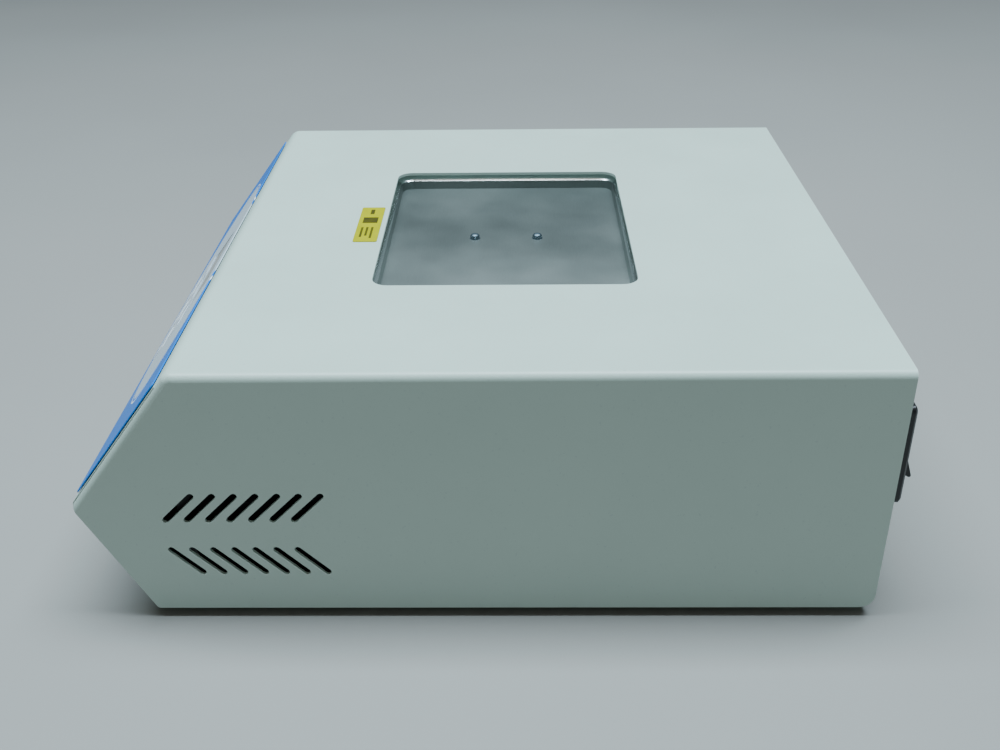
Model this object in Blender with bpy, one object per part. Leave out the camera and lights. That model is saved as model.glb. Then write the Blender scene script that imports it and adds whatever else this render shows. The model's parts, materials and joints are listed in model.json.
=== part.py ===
"""Benchtop heated orbital mixer with its sample block lifted out.

A folded steel cover sits over a folded base. A square recess in the top shows the heated tray,
which an eccentric on the motor shaft carries round in a small circle while four idler cranks
keep it from turning. Lengths are in millimetres here and are written out in metres.
The front faces -Y, +X is the operator's right, and Z is up from the table.
"""

import math

import bmesh
import bpy
from mathutils import Matrix, Vector

MM = 0.001
GAP = 0.3
SHARP = math.radians(35)

# Case, as a side outline in Y and Z
HALF_WIDTH = 124.0
Y_REAR = 133.8
Y_TOP_FRONT = -100.5
Y_NOSE = -139.2
Y_BOTTOM_FRONT = -116.4
Z_TABLE_GAP = 4.0
Z_NOSE = 47.8
Z_TOP = 98.0
SHEET = 1.2
BEND = 2.6
BEND_STEPS = 5
TOP_BEND = 5.3
NOSE_BEND = 2.8
LIP = 5.9
FAR = 400.0
COVER_INSIDE = HALF_WIDTH - SHEET
PANEL_HALF = COVER_INSIDE - GAP

# Recess opening and the mixing axis under it
WELL_HALF_X = 59.2
WELL_HALF_Y = 48.35
WELL_CORNER = 6.0
AXIS_Y = 5.7
THROW = 1.5
PLATFORM = (-THROW, AXIS_Y, 0.0)

# Louvre slots on both sides
SLOTS = 7
SLOT_LENGTH = 16.0
SLOT_WIDTH = 2.4
SLOT_PITCH = 7.2
SLOT_FIRST_Y = -103.2
SLOT_ROWS = ((47.05, 1), (24.9, -1))

# Sloping front panel: local Y runs up the slope, local Z points out of it
SLOPE = math.atan2(Z_TOP - Z_NOSE, Y_TOP_FRONT - Y_NOSE)
SLOPE_LENGTH = math.hypot(Z_TOP - Z_NOSE, Y_TOP_FRONT - Y_NOSE)
SLOPE_CENTRE = (0.0, (Y_TOP_FRONT + Y_NOSE) / 2, (Z_TOP + Z_NOSE) / 2)
SLOPE_TURN = (SLOPE, 0.0, 0.0)
SLOPE_INWARD = Vector((math.sin(SLOPE), -math.cos(SLOPE)))
PANEL_TOP = SLOPE_LENGTH / 2 - LIP - GAP
OVERLAY_HALF = 121.1
OVERLAY_TOP = PANEL_TOP - 0.3
OVERLAY_BOTTOM = -28.2
OVERLAY_FACE = 0.75
WINDOW = (5.0, 9.2, 25.0, 7.5)
KEY_COLUMNS = {"heat": -19.0, "time": 5.0, "speed": 29.0}
KEY_ROWS = {"up": -6.0, "down": -18.5}
KEY_HALF = (8.5, 4.6)
KEY_FACE = 0.95
KEY_BACK = 0.55

# Power entry on the rear panel
INLET_CENTRE = (91.0, 62.4)
INLET_HALF = (27.0, 19.0)
INLET_BODY_HALF = (24.0, 16.6)
INLET_FACE = 138.5
INLET_BACK = 106.0
SOCKET = (82.5, 57.6)
INLET_PINS = {"live": (-7.0, -2.0), "neutral": (7.0, -2.0), "earth": (0.0, 2.0)}
DRAWER = (82.5, 73.3)
DRAWER_HALF = (11.2, 4.0)
FUSE_OFFSET = 5.5
ROCKER_CENTRE = (106.5, 136.2, 62.4)
ROCKER_TILT = math.radians(9)
ROCKER_HALF = (6.4, 13.0)
SWITCH_BAY_HALF = (6.7, 14.2)

# Mixing platform, from the top down
TRAY_HALF = (66.0, 55.2)
TRAY_TOP = 96.2
TRAY_FLOOR = 90.5
TRAY_BOTTOM = 82.5
PIN_SPAN = 25.4
PIN_RADIUS = 1.9
PIN_HEIGHT = 2.0
PLATE_HALF = (64.0, 53.0)
PLATE_BOTTOM = 62.0
PLATE_TOP = 66.0
STANDOFF_AT = (61.0, 50.0)
IDLER_AT = (45.0, 35.0)
BEARING_Z = 59.5

# Drive below the platform
DECK_HALF = (75.0, 60.0)
DECK_BOTTOM = 38.3
DECK_TOP = 41.3
PILLAR_AT = (66.0, 51.0)
MOTOR_RADIUS = 28.0
MOTOR_BOTTOM = 8.0
PAN_TOP = Z_TABLE_GAP + SHEET

# Cooling fan behind the right louvres
FAN_CENTRE = (112.0, -80.0, 36.0)
FAN_HALF = 25.0
FAN_DEPTH = 15.0

FOOT_AT = (108.0, 111.5)
FEET_MIDDLE_Y = 8.5
TAB_AT = (115.5, 74.0)
TABS_MIDDLE_Y = 34.0

# Circuit boards on posts: centre, half size and top face of each
BOARD_THICK = 1.6
POST_INSET = 4.0
POWER_BOARD = ((-60.0, 100.0), (40.0, 25.0), 13.1)
CONTROL_BOARD = ((-52.5, -86.0), (47.5, 18.0), 13.6)
BOARDS = (POWER_BOARD, CONTROL_BOARD)

AXES = {"X": (1, 2, 0), "Y": (0, 2, 1), "Z": (0, 1, 2)}


def clear_scene():
    for obj in list(bpy.data.objects):
        bpy.data.objects.remove(obj, do_unlink=True)


def look(name, colour, roughness=0.5, metallic=0.0, transmission=0.0):
    """One Principled material, shared by the pieces made of it."""
    made = bpy.data.materials.get(name)
    if made:
        return made
    made = bpy.data.materials.new(name)
    made.use_nodes = True
    shader = made.node_tree.nodes["Principled BSDF"]
    shader.inputs["Base Color"].default_value = (*colour, 1.0)
    shader.inputs["Roughness"].default_value = roughness
    shader.inputs["Metallic"].default_value = metallic
    shader.inputs["Transmission Weight"].default_value = transmission
    return made


def powder_coat():
    return look("light_powder_coat", (0.62, 0.64, 0.62), 0.42)


def galvanised():
    return look("galvanised_sheet", (0.55, 0.56, 0.57), 0.4, 1.0)


def steel():
    return look("bright_steel", (0.6, 0.6, 0.6), 0.28, 1.0)


def aluminium():
    return look("brushed_aluminium", (0.6, 0.61, 0.62), 0.35, 1.0)


def black_plastic():
    return look("black_plastic", (0.02, 0.02, 0.02), 0.4)


def circuit_board():
    return look("circuit_board", (0.03, 0.16, 0.07), 0.4)


def point_on(axis, u, v, height):
    point = [0.0, 0.0, 0.0]
    for slot, value in zip(AXES[axis], (u, v, height)):
        point[slot] = value
    return Vector(point)


def rounded(corners, steps=4):
    """A closed outline from (u, v, radius) corners."""
    points = []
    for index, (u, v, radius) in enumerate(corners):
        here = Vector((u, v))
        if radius <= 0:
            points.append(here)
            continue
        behind = (Vector(corners[index - 1][:2]) - here).normalized()
        ahead = (Vector(corners[(index + 1) % len(corners)][:2]) - here).normalized()
        half = behind.angle(ahead) / 2
        centre = here + (behind + ahead).normalized() * radius / math.sin(half)
        spoke = here + behind * radius / math.tan(half) - centre
        sweep = math.copysign(math.pi - 2 * half, behind.x * ahead.y - behind.y * ahead.x)
        for step in range(steps + 1):
            turn = Matrix.Rotation(-sweep * step / steps, 2)
            points.append(centre + turn @ spoke)
    return points


def four_corners(half, centre=(0.0, 0.0)):
    sides = ((-1, -1), (1, -1), (1, 1), (-1, 1))
    return [(centre[0] + a * half[0], centre[1] + b * half[1]) for a, b in sides]


def rectangle(centre_u, centre_v, half_u, half_v, radius=0.0, steps=4):
    corners = four_corners((half_u, half_v), (centre_u, centre_v))
    return rounded([(*corner, radius) for corner in corners], steps)


def capsule(centre_u, centre_v, length, width, angle, steps=4):
    """A slot outline with round ends, its long axis turned by angle."""
    straight = (length - width) / 2
    points = []
    for end in (0, 1):
        for step in range(steps + 1):
            bearing = math.pi * (end - 0.5 + step / steps)
            along = width / 2 * math.cos(bearing) + (straight if end == 0 else -straight)
            across = width / 2 * math.sin(bearing)
            points.append((along, across))
    turn = Matrix.Rotation(angle, 2)
    return [turn @ Vector(point) + Vector((centre_u, centre_v)) for point in points]


def shifted_path(path, distance):
    """An open path moved to the left of its travel by distance, mitred at its corners."""
    moved = []
    for index, here in enumerate(path):
        before = path[max(index - 1, 0)]
        after = path[min(index + 1, len(path) - 1)]
        arriving = (here - before).normalized() if index else None
        leaving = (after - here).normalized() if index < len(path) - 1 else None
        arriving = arriving or leaving
        leaving = leaving or arriving
        left = Vector((-arriving.y, arriving.x)) + Vector((-leaving.y, leaving.x))
        left.normalize()
        moved.append(here + left * distance / left.dot(Vector((-arriving.y, arriving.x))))
    return moved


def strip(path, thickness, bends):
    """A closed outline of bent sheet: the outer path, and back along its inner face."""
    outer = [Vector(point) for point in path]
    inner = shifted_path(outer, -thickness)
    corners = [(*point, bend) for point, bend in zip(outer, bends)]
    back = [(*point, max(bend - thickness, 0.0)) for point, bend in zip(inner, bends)]
    return rounded(corners + back[::-1])


def add_loft(bm, loops):
    rings = [[bm.verts.new(point) for point in loop] for loop in loops]
    for lower, upper in zip(rings, rings[1:]):
        for index in range(len(lower)):
            after = (index + 1) % len(lower)
            bm.faces.new((lower[index], lower[after], upper[after], upper[index]))
    bm.faces.new(rings[0])
    bm.faces.new(rings[-1])


def add_prism(bm, outline, low, high, axis="Z"):
    add_loft(bm, [[point_on(axis, *point, level) for point in outline] for level in (low, high)])


def add_box(bm, x_span, y_span, z_span):
    outline = [(x_span[a], y_span[b]) for a, b in ((0, 0), (1, 0), (1, 1), (0, 1))]
    add_prism(bm, outline, *z_span)


def add_lathe(bm, profile, at=(0.0, 0.0, 0.0), axis="Z", segments=32):
    """A closed (radius, height) profile turned about an axis through at."""
    rings = []
    for radius, height in profile:
        bearings = [2 * math.pi * step / segments for step in range(segments)] if radius else [0.0]
        ring = [(radius * math.cos(b), radius * math.sin(b), height) for b in bearings]
        rings.append([bm.verts.new(point_on(axis, *point) + Vector(at)) for point in ring])
    for near, far in zip(rings, rings[1:] + rings[:1]):
        if len(near) == len(far) == 1:
            continue
        for index in range(segments):
            after = (index + 1) % segments
            loop = [near[index % len(near)], near[after % len(near)]]
            loop += [far[after % len(far)], far[index % len(far)]]
            bm.faces.new(list(dict.fromkeys(loop)))


def add_cylinder(bm, radius, low, high, at=(0.0, 0.0, 0.0), axis="Z", segments=24):
    add_lathe(bm, ((0, low), (radius, low), (radius, high), (0, high)), at, axis, segments)


def add_ring(bm, inner, outer, low, high, at=(0.0, 0.0, 0.0), axis="Z", segments=24):
    profile = ((inner, low), (outer, low), (outer, high), (inner, high))
    add_lathe(bm, profile, at, axis, segments)


def bevel_edges(bm, radius, steps, chosen):
    """Rounds the edges that chosen picks out by their two end points."""
    edges = [edge for edge in bm.edges if chosen(*(vert.co for vert in edge.verts))]
    bmesh.ops.bevel(
        bm, geom=edges, offset=radius, segments=steps, profile=0.5, affect="EDGES", clamp_overlap=True
    )


def add_object(name, bm, surface, at=(0.0, 0.0, 0.0), turn=(0.0, 0.0, 0.0)):
    bmesh.ops.recalc_face_normals(bm, faces=bm.faces)
    bmesh.ops.scale(bm, vec=(MM, MM, MM), verts=bm.verts)
    mesh = bpy.data.meshes.new(name)
    bm.to_mesh(mesh)
    bm.free()
    mesh.materials.append(surface)
    mesh.shade_smooth()
    mesh.set_sharp_from_angle(angle=SHARP)
    obj = bpy.data.objects.new(name, mesh)
    obj.location = Vector(at) * MM
    obj.rotation_euler = turn
    bpy.context.scene.collection.objects.link(obj)
    return obj


def combine(target, operation, bm, at=None, turn=None):
    """Cuts the shape in bm out of target, or joins it on, in target's own frame unless placed."""
    label = f"{target.name}_{operation.lower()}_{len(target.modifiers)}"
    tool = add_object(label, bm, target.data.materials[0])
    tool.location = target.location if at is None else Vector(at) * MM
    tool.rotation_euler = target.rotation_euler if turn is None else turn
    tool.hide_render = True
    tool.display_type = "WIRE"
    modifier = target.modifiers.new(label, "BOOLEAN")
    modifier.operation = operation
    modifier.solver = "EXACT"
    modifier.object = tool


def slope_point(distance, depth=0.0):
    """A point on the front slope this far below its top corner, and this deep inside."""
    down = Vector((-math.cos(SLOPE), -math.sin(SLOPE)))
    return Vector((Y_TOP_FRONT, Z_TOP)) + down * distance + SLOPE_INWARD * depth


def top_corner(depth):
    """Where the top meets the slope, both taken this deep under their outer faces."""
    return Vector((Y_TOP_FRONT + depth * math.tan(SLOPE / 2), Z_TOP - depth))


def cover_outline(depth):
    """The side outline with its top and its slope moved inward by depth."""
    nose = Vector((Y_NOSE, Z_NOSE))
    lower_front = (Vector((Y_BOTTOM_FRONT, Z_TABLE_GAP)) - nose).normalized()
    nose += lower_front * depth / lower_front.dot(SLOPE_INWARD)
    corners = (
        (Y_REAR, Z_TOP - depth, 0.0),
        (*top_corner(depth), TOP_BEND - depth),
        (*nose, NOSE_BEND - depth),
        (Y_BOTTOM_FRONT, Z_TABLE_GAP, 1.5),
        (Y_REAR, Z_TABLE_GAP, 5.0),
    )
    return rounded(corners)


def inside_outline(depth):
    """The space under the sheet, open to the rear, the bottom and in front of the lip."""
    corners = (
        (FAR, Z_TOP - depth, 0.0),
        (*top_corner(depth), TOP_BEND - depth),
        (*slope_point(LIP, depth), 0.0),
        (*slope_point(LIP, -FAR / 4), 0.0),
        (-FAR, -FAR, 0.0),
        (FAR, -FAR, 0.0),
    )
    return rounded(corners)


def add_folded(bm, outline_at, under):
    """The folded cover's shape from side to side, taken this far under its outer faces."""
    radius = BEND - under
    stations = []
    for step in range(BEND_STEPS + 1):
        angle = math.pi / 2 * step / BEND_STEPS
        across = HALF_WIDTH - BEND + radius * math.sin(angle)
        stations.append((across, under + radius * (1 - math.cos(angle))))
    mirrored = [(-across, depth) for across, depth in reversed(stations)]
    loops = []
    for across, depth in mirrored + stations:
        loops.append([Vector((across, *point)) for point in outline_at(depth)])
    add_loft(bm, loops)


def make_top_cover():
    """Top, both sides and a short front lip, folded from one sheet."""
    bm = bmesh.new()
    add_folded(bm, cover_outline, 0.0)
    cover = add_object("top_cover", bm, powder_coat())
    inside = bmesh.new()
    add_folded(inside, inside_outline, SHEET)
    combine(cover, "DIFFERENCE", inside)
    combine(cover, "UNION", cover_tabs())
    combine(cover, "DIFFERENCE", cover_openings())
    combine(cover, "DIFFERENCE", tab_holes())


def cover_openings():
    bm = bmesh.new()
    well = rectangle(0.0, AXIS_Y, WELL_HALF_X, WELL_HALF_Y, WELL_CORNER, 6)
    add_prism(bm, well, Z_TOP - 3, Z_TOP + 3)
    for side in (-1, 1):
        span = sorted((side * (COVER_INSIDE - 2), side * (HALF_WIDTH + 2)))
        for height, lean in SLOT_ROWS:
            for index in range(SLOTS):
                centre_y = SLOT_FIRST_Y + SLOT_PITCH * index
                slot = capsule(centre_y, height, SLOT_LENGTH, SLOT_WIDTH, lean * math.pi / 4)
                add_prism(bm, slot, *span, "X")
    return bm


def make_base_chassis():
    """Rear panel, bottom, lower front and sloping front, folded from one sheet."""
    bm = bmesh.new()
    rear = Y_REAR - GAP
    path = (
        (rear, Z_TOP - SHEET - GAP),
        (rear, Z_TABLE_GAP),
        (Y_BOTTOM_FRONT, Z_TABLE_GAP),
        (Y_NOSE, Z_NOSE),
        slope_point(LIP + GAP),
    )
    add_prism(bm, strip(path, SHEET, (0.0, 1.6, 1.6, NOSE_BEND, 0.0)), -PANEL_HALF, PANEL_HALF, "X")

    def top_rear_corner(a, b):
        return abs(a.x - b.x) < 0.01 and min(a.y, b.y) > 100.0 and min(a.z, b.z) > path[0][1] - 0.01

    def slope_side(a, b):
        depths = [(point.yz - slope_point(0.0)).dot(SLOPE_INWARD) for point in (a, b)]
        return abs(a.x - b.x) < 0.01 and max(map(abs, depths)) < 0.01

    bevel_edges(bm, BEND, 3, top_rear_corner)
    bevel_edges(bm, 0.45, 2, slope_side)
    base = add_object("base_chassis", bm, powder_coat())
    combine(base, "UNION", base_posts())
    combine(base, "DIFFERENCE", base_holes())
    combine(base, "DIFFERENCE", front_holes(), SLOPE_CENTRE, SLOPE_TURN)


def base_posts():
    """Posts clinched into the bottom: four for the mechanism deck, and four for each board."""
    bm = bmesh.new()
    for x, y in four_corners(PILLAR_AT, (0.0, AXIS_Y)):
        add_cylinder(bm, 5.0, PAN_TOP - 0.5, DECK_BOTTOM - GAP, (x, y, 0.0), segments=6)
    for (centre, half, top) in BOARDS:
        posts = (half[0] - POST_INSET, half[1] - POST_INSET)
        for x, y in four_corners(posts, centre):
            add_cylinder(bm, 3.0, PAN_TOP - 0.5, top - BOARD_THICK - GAP, (x, y, 0.0), segments=6)
    return bm


def base_holes():
    bm = bmesh.new()
    half_x, half_z = (half + GAP for half in INLET_BODY_HALF)
    add_prism(bm, rectangle(*INLET_CENTRE, half_x, half_z, 1.5), Y_REAR - 10, Y_REAR + 10, "Y")
    for x, y in four_corners(FOOT_AT, (0.0, FEET_MIDDLE_Y)):
        add_cylinder(bm, 2.8, 0.0, 10.0, (x, y, 0.0), segments=16)
    for x, y in four_corners(TAB_AT, (0.0, TABS_MIDDLE_Y)):
        add_cylinder(bm, 2.1, 0.0, 10.0, (x, y, 0.0), segments=16)
    return bm


def front_holes():
    bm = bmesh.new()
    centre_x, centre_y, half_x, half_y = WINDOW
    add_prism(bm, rectangle(centre_x, centre_y, half_x - 1.5, half_y - 1.5, 1.0), -5.0, 5.0)
    for x in KEY_COLUMNS.values():
        for y in KEY_ROWS.values():
            add_cylinder(bm, 2.1, -5.0, 5.0, (x, y, 0.0), segments=16)
    return bm


def cover_tabs():
    """Four angles spot-welded inside the sides, reaching over the base."""
    bm = bmesh.new()
    low = PAN_TOP + GAP
    wall = COVER_INSIDE + 0.4
    for x, y in four_corners(TAB_AT, (0.0, TABS_MIDDLE_Y)):
        side = math.copysign(1.0, x)
        path = ((side * 109.0, low), (side * wall, low), (side * wall, 18.0))
        add_prism(bm, strip(path, -side * 1.6, (0.0, 0.0, 0.0)), y - 7, y + 7, "Y")
    return bm


def tab_holes():
    bm = bmesh.new()
    for x, y in four_corners(TAB_AT, (0.0, TABS_MIDDLE_Y)):
        add_cylinder(bm, 2.0, 0.0, 12.0, (x, y, 0.0), segments=16)
    return bm


def make_cover_screws():
    profile = ((0, 1.9), (2.6, 1.9), (3.4, 2.7), (3.4, 3.7), (1.7, 3.7), (1.7, 9.5), (0, 9.5))
    for number, (x, y) in enumerate(four_corners(TAB_AT, (0.0, TABS_MIDDLE_Y)), 1):
        bm = bmesh.new()
        add_lathe(bm, profile, segments=16)
        add_object(f"cover_screw_{number}", bm, steel(), (x, y, 0.0))


def make_feet():
    profile = (
        (0, 0.0),
        (7.0, 0.0),
        (8.0, 1.0),
        (8.0, 3.7),
        (2.4, 3.7),
        (2.4, PAN_TOP + GAP),
        (3.7, PAN_TOP + GAP),
        (2.6, 7.5),
        (0, 7.5),
    )
    rubber = look("black_rubber", (0.015, 0.015, 0.015), 0.8)
    for number, (x, y) in enumerate(four_corners(FOOT_AT, (0.0, FEET_MIDDLE_Y)), 1):
        bm = bmesh.new()
        add_lathe(bm, profile, segments=20)
        add_object(f"rubber_foot_{number}", bm, rubber, (x, y, 0.0))


def make_overlay():
    """The printed front film, with openings for the display window and the keys."""
    bm = bmesh.new()
    middle = (OVERLAY_TOP + OVERLAY_BOTTOM) / 2
    half = (OVERLAY_TOP - OVERLAY_BOTTOM) / 2
    edge = 0.2
    loops = []
    for height, inset in ((GAP, 0.0), (OVERLAY_FACE - edge, 0.0), (OVERLAY_FACE, edge)):
        outline = rectangle(0.0, middle, OVERLAY_HALF - inset, half - inset, 2.0 - inset)
        loops.append([point_on("Z", *point, height) for point in outline])
    add_loft(bm, loops)
    overlay = add_object("front_overlay", bm, look("blue_film", (0.01, 0.2, 0.58), 0.35))
    overlay.location = Vector(SLOPE_CENTRE) * MM
    overlay.rotation_euler = SLOPE_TURN
    cuts = bmesh.new()
    x, y, half_x, half_y = WINDOW
    add_prism(cuts, rectangle(x, y, half_x + GAP, half_y + GAP, 1.5), -3.0, 3.0)
    for key_x in KEY_COLUMNS.values():
        for key_y in KEY_ROWS.values():
            hole = rectangle(key_x, key_y, KEY_HALF[0] + GAP, KEY_HALF[1] + GAP, 1.8, 2)
            add_prism(cuts, hole, -3.0, 3.0)
    combine(overlay, "DIFFERENCE", cuts)


def make_display():
    x, y, half_x, half_y = WINDOW
    pane = bmesh.new()
    add_prism(pane, rectangle(x, y, half_x, half_y, 1.2), GAP, OVERLAY_FACE - 0.1)
    clear = look("smoked_window", (0.05, 0.06, 0.07), 0.08, transmission=0.6)
    add_object("display_window", pane, clear, SLOPE_CENTRE, SLOPE_TURN)
    glass = bmesh.new()
    add_box(glass, (x - 26, x + 26), (y - 9.0, y + 9.0), (-4.0, -SHEET - 0.6))
    lcd = look("lcd_glass", (0.18, 0.22, 0.17), 0.15)
    add_object("display_glass", glass, lcd, SLOPE_CENTRE, SLOPE_TURN)
    holder = bmesh.new()
    add_box(holder, (x - 29, x + 29), (y - 11.0, y + 11.0), (-5.5, -SHEET - GAP))
    frame = add_object("display_frame", holder, black_plastic(), SLOPE_CENTRE, SLOPE_TURN)
    pocket = bmesh.new()
    add_box(pocket, (x - 26.3, x + 26.3), (y - 9.3, y + 9.3), (-4.3, 2.0))
    combine(frame, "DIFFERENCE", pocket)


def make_keys():
    """Six membrane keys, each with a stem that works a switch behind the panel."""
    face = look("key_film", (0.72, 0.74, 0.76), 0.4)
    edge = 0.2
    for column, x in KEY_COLUMNS.items():
        for row, y in KEY_ROWS.items():
            bm = bmesh.new()
            loops = []
            levels = ((KEY_BACK, 0.0), (KEY_FACE - edge, 0.0), (KEY_FACE, edge))
            for height, inset in levels:
                outline = rectangle(0.0, 0.0, KEY_HALF[0] - inset, KEY_HALF[1] - inset, 1.5 - inset, 2)
                loops.append([point_on("Z", *point, height) for point in outline])
            add_loft(bm, loops)
            at = Vector(SLOPE_CENTRE) + Matrix.Rotation(SLOPE, 3, "X") @ Vector((x, y, 0.0))
            key = add_object(f"key_{column}_{row}", bm, face, at, SLOPE_TURN)
            stem = bmesh.new()
            add_cylinder(stem, 1.6, -2.6, 0.75, segments=12)
            combine(key, "UNION", stem)


def make_key_board():
    """The board behind the keys, with a push switch under each stem."""
    board = bmesh.new()
    add_box(board, (-45.0, 55.0), (-27.0, 21.5), (-8.5, -6.9))
    made = add_object("key_board", board, circuit_board(), SLOPE_CENTRE, SLOPE_TURN)
    switches = bmesh.new()
    for x in KEY_COLUMNS.values():
        for y in KEY_ROWS.values():
            square = rectangle(0.0, 0.0, 3.0, 3.0, 0.5, 2)
            button = rectangle(0.0, 0.0, 1.3, 1.3, 0.8, 2)
            loops = []
            for level, outline in ((-7.5, square), (-4.6, square), (-4.6, button), (-3.3, button)):
                loops.append([(x + point.x, y + point.y, level) for point in outline])
            add_loft(switches, loops)
    combine(made, "UNION", switches)


def socket_outline(half_u, half_v, chamfer):
    """The three-pin appliance inlet: a rectangle with both upper corners cut off."""
    u, v = SOCKET
    corners = (
        (u - half_u, v - half_v, 1.0),
        (u + half_u, v - half_v, 1.0),
        (u + half_u, v + half_v - chamfer, 0.8),
        (u + half_u - chamfer, v + half_v, 0.8),
        (u - half_u + chamfer, v + half_v, 0.8),
        (u - half_u, v + half_v - chamfer, 0.8),
    )
    return rounded(corners, 2)


def make_power_inlet():
    """Snap-in power entry: appliance inlet, fuse bay above it, and a switch bay beside."""
    bm = bmesh.new()
    body_y = Y_REAR
    levels = (
        (INLET_BACK, INLET_BODY_HALF, 1.2),
        (body_y, INLET_BODY_HALF, 1.2),
        (body_y, INLET_HALF, 2.4),
        (INLET_FACE - 0.8, INLET_HALF, 2.4),
        (INLET_FACE, tuple(half - 0.8 for half in INLET_HALF), 1.6),
    )
    loops = []
    for depth, half, radius in levels:
        outline = rectangle(*INLET_CENTRE, *half, radius)
        loops.append([point_on("Y", *point, depth) for point in outline])
    add_loft(bm, loops)
    inlet = add_object("power_inlet", bm, black_plastic())
    bays = bmesh.new()
    add_prism(bays, socket_outline(12.3, 8.3, 4.0), INLET_FACE - 16, INLET_FACE + 4, "Y")
    drawer_bay = rectangle(*DRAWER, *(half + GAP for half in DRAWER_HALF))
    add_prism(bays, drawer_bay, 110.0, INLET_FACE + 4, "Y")
    switch_bay = rectangle(ROCKER_CENTRE[0], ROCKER_CENTRE[2], *SWITCH_BAY_HALF)
    add_prism(bays, switch_bay, 124.0, INLET_FACE + 4, "Y")
    combine(inlet, "DIFFERENCE", bays)
    holes = bmesh.new()
    add_cylinder(holes, 1.3, -7.8, 7.8, ROCKER_CENTRE, "X", 12)
    for offset, height in INLET_PINS.values():
        slot = rectangle(SOCKET[0] + offset, SOCKET[1] + height, 1.3, 2.3)
        add_prism(holes, slot, 100.0, INLET_FACE - 15, "Y")
    combine(inlet, "DIFFERENCE", holes)


def make_inlet_pins():
    for name, (offset, height) in INLET_PINS.items():
        bm = bmesh.new()
        u, v = SOCKET[0] + offset, SOCKET[1] + height
        loops = []
        for depth, half_u, half_v in ((98.0, 1.0, 2.0), (132.5, 1.0, 2.0), (134.0, 0.5, 1.3)):
            outline = rectangle(u, v, half_u, half_v)
            loops.append([point_on("Y", *point, depth) for point in outline])
        add_loft(bm, loops)
        add_object(f"inlet_pin_{name}", bm, steel())


def make_fuse_drawer():
    """Pull-out carrier for the two mains fuses."""
    bm = bmesh.new()
    x, z = DRAWER
    at = (x, INLET_FACE, z)
    add_prism(bm, rectangle(0.0, 0.0, *DRAWER_HALF), -26.5, 0.6, "Y")
    drawer = add_object("fuse_drawer", bm, look("drawer_plastic", (0.03, 0.03, 0.035), 0.45), at)
    pockets = bmesh.new()
    for side in (-1, 1):
        centre = side * FUSE_OFFSET
        add_box(pockets, (centre - 2.8, centre + 2.8), (-22.6, -2.0), (-2.1, 6.0))
    add_box(pockets, (-4.0, 4.0), (-0.9, 3.0), (2.4, 6.0))
    combine(drawer, "DIFFERENCE", pockets)
    caps = look("fuse_caps", (0.7, 0.68, 0.62), 0.25, 1.0)
    half = [(2.3, -4.7), (2.5, -4.7), (2.5, -10.0), (0, -10.0)]
    profile = [(radius, -height) for radius, height in reversed(half)] + half
    for name, side in (("live", -1), ("neutral", 1)):
        bm = bmesh.new()
        add_lathe(bm, profile, axis="Y", segments=12)
        add_object(f"fuse_{name}", bm, caps, (x + side * FUSE_OFFSET, INLET_FACE - 12.3, z + 0.7))


def make_rocker():
    """Power switch rocker on its cross pivot; it rests with the lower end standing out."""
    bm = bmesh.new()
    half_x, half_z = ROCKER_HALF
    rise = half_z * math.tan(ROCKER_TILT)
    corners = (
        (2.5 + rise, -half_z, 0.6),
        (2.5, 0.0, 6.0),
        (2.5 + rise, half_z, 0.6),
        (-3.5, 5.5, 1.0),
        (-3.5, -5.5, 1.0),
    )
    outline = rounded(corners, 3)
    add_prism(bm, outline, -half_x, half_x, "X")
    bevel_edges(bm, 0.4, 2, lambda a, b: a.y > 2.0 and b.y > 2.0 and abs(a.x - b.x) < 0.01)
    shade = look("switch_plastic", (0.02, 0.02, 0.022), 0.3)
    rocker = add_object("power_rocker", bm, shade, ROCKER_CENTRE, (ROCKER_TILT, 0.0, 0.0))
    pivot = bmesh.new()
    add_cylinder(pivot, 1.0, -7.5, 7.5, axis="X", segments=12)
    combine(rocker, "UNION", pivot)


def make_tray():
    """The heated tray: a shallow machined recess, with two round pins that locate the sample block."""
    bm = bmesh.new()
    add_prism(bm, rectangle(0.0, 0.0, *TRAY_HALF, 8.0), TRAY_BOTTOM, TRAY_TOP)
    tray = add_object("heated_tray", bm, aluminium(), PLATFORM)
    recess = bmesh.new()
    levels = (
        (TRAY_FLOOR, 57.7, 46.8, 5.0),
        (TRAY_TOP - 2.2, 58.0, 47.2, 5.2),
        (TRAY_TOP + 0.4, 60.6, 49.8, 7.0),
        (TRAY_TOP + 3.0, 60.6, 49.8, 7.0),
    )
    loops = []
    for height, half_x, half_y, radius in levels:
        outline = rectangle(0.0, 0.0, half_x, half_y, radius, 6)
        loops.append([point_on("Z", *point, height) for point in outline])
    add_loft(recess, loops)
    combine(tray, "DIFFERENCE", recess)
    pins = bmesh.new()
    low = TRAY_FLOOR - 1.0
    top = TRAY_FLOOR + PIN_HEIGHT
    dome = ((0, low), (PIN_RADIUS, low), (PIN_RADIUS, top - 0.8), (1.5, top - 0.3), (0.8, top), (0, top))
    for side in (-1, 1):
        add_lathe(pins, dome, (0.0, side * PIN_SPAN / 2, 0.0), segments=20)
    combine(tray, "UNION", pins)
    bore = bmesh.new()
    add_cylinder(bore, 1.8, -60.0, -38.0, (30.0, 0.0, 86.5), "Y", 12)
    combine(tray, "DIFFERENCE", bore)


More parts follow.
